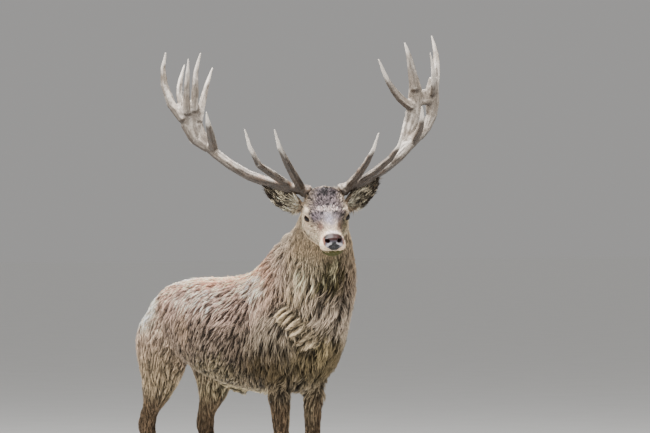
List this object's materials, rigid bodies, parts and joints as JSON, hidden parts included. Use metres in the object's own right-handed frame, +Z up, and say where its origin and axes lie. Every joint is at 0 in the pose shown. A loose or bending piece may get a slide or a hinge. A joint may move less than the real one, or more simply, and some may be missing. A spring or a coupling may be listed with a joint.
{
  "type": "red deer stag",
  "caption": "Standing red deer stag with a full mane and wide branching antlers, head turned to its right, as a still life-size animal model.",
  "frame": {"origin": "centre of the bounding box in X and Y, on the ground plane under the hooves", "axes": "+Z up, the stag faces -Y, +X to the stag's left"},
  "size_m": [0.99, 1.5408, 2.0788],
  "materials": {
    "antler_bone": "weathered bone, grooved and pearled, brown towards the burr",
    "antler_tines": "paler polished bone with ivory tips",
    "body_coat": "wet grey-brown fur in clumps, reddish along the back",
    "ear_coat": "short grey-brown fur outside, long pale hair inside",
    "eye": "dark brown, wet and glossy",
    "face_coat": "short fur, grey forehead, tan cheeks, pale muzzle",
    "hoof": "black horn",
    "leg_coat": "short dark grey-brown fur",
    "mane_coat": "long wet locks, grey-brown with tan streaks",
    "nose_skin": "wet black pebbled skin",
    "rump_coat": "tan fur of the tail"
  },
  "bodies": {
    "root": {"antler_left_beam": "antler_bone", "antler_left_bez_tine": "antler_tines", "antler_left_brow_tine": "antler_tines", "antler_left_crown": "antler_tines", "antler_left_trez_tine": "antler_tines", "antler_right_beam": "antler_bone", "antler_right_bez_tine": "antler_tines", "antler_right_brow_tine": "antler_tines", "antler_right_crown": "antler_tines", "antler_right_trez_tine": "antler_tines", "ear_left": "ear_coat", "ear_right": "ear_coat", "eye_left": "eye", "eye_right": "eye", "fore_left_cannon": "leg_coat", "fore_left_forearm": "leg_coat", "fore_left_hoof_inner": "hoof", "fore_left_hoof_outer": "hoof", "fore_left_pastern": "leg_coat", "fore_left_shoulder": "body_coat", "fore_right_cannon": "leg_coat", "fore_right_forearm": "leg_coat", "fore_right_hoof_inner": "hoof", "fore_right_hoof_outer": "hoof", "fore_right_pastern": "leg_coat", "fore_right_shoulder": "body_coat", "head": "face_coat", "hind_left_cannon": "leg_coat", "hind_left_hoof_inner": "hoof", "hind_left_hoof_outer": "hoof", "hind_left_pastern": "leg_coat", "hind_left_shank": "leg_coat", "hind_left_thigh": "body_coat", "hind_right_cannon": "leg_coat", "hind_right_hoof_inner": "hoof", "hind_right_hoof_outer": "hoof", "hind_right_pastern": "leg_coat", "hind_right_shank": "leg_coat", "hind_right_thigh": "body_coat", "lower_jaw": "face_coat", "neck": "mane_coat", "nose_pad": "nose_skin", "tail": "rump_coat", "trunk": "body_coat"}
  },
  "joints": []
}
